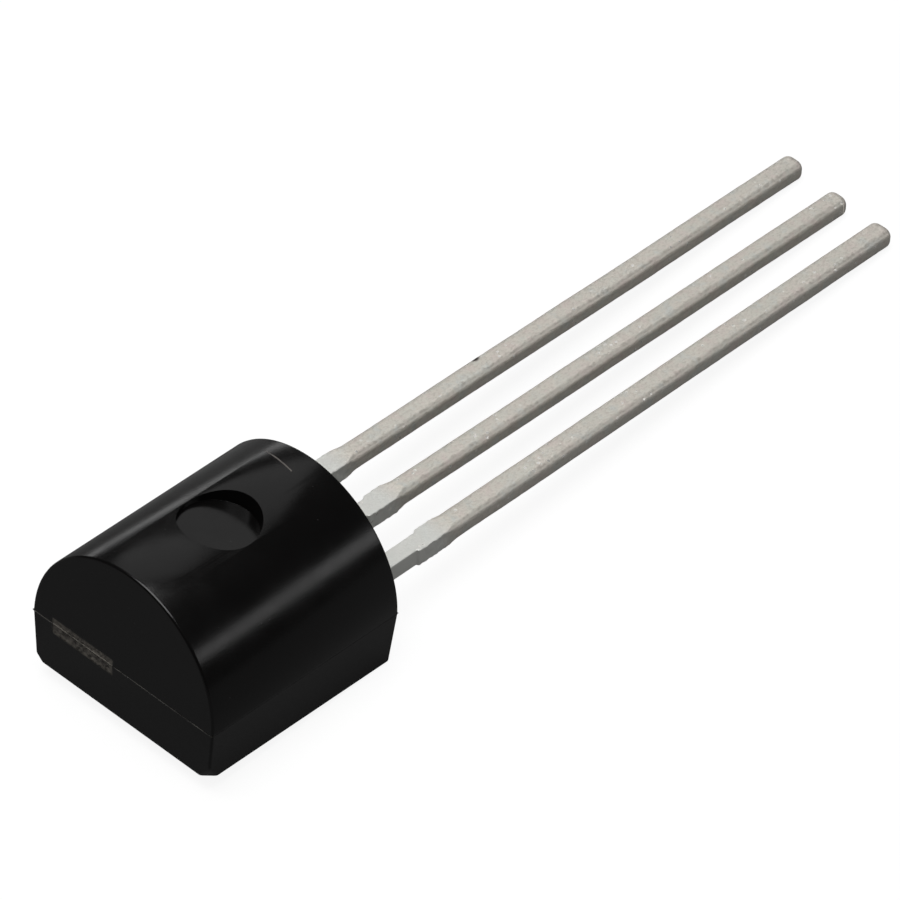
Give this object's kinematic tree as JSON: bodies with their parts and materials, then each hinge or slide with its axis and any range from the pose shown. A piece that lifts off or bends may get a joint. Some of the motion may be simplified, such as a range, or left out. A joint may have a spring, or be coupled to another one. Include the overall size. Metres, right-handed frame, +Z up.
{
  "type": "three-lead transistor package",
  "caption": "Small-signal transistor: a black D-shaped moulded body with a flat side, a round side and straight tinned leads, lying on its flat side.",
  "frame": {"origin": "middle of the footprint, on the surface the part lies on", "axes": "+Z up from that surface, +X across the row of leads from lead 1 to lead 3, +Y out of the body towards the lead tips, which dip by 3.89 degrees"},
  "size_m": [0.0046, 0.0192, 0.0038],
  "materials": {
    "moulding": "satin",
    "lead": "matte",
    "silicon": "polished",
    "die_solder": "satin",
    "bond_wire": "satin"
  },
  "bodies": {
    "root": {"body": "moulding", "lead_1": "lead", "lead_2": "lead", "lead_3": "lead", "die": "silicon", "die_attach": "die_solder", "bond_wire_1": "bond_wire", "bond_wire_2": "bond_wire"}
  },
  "joints": []
}
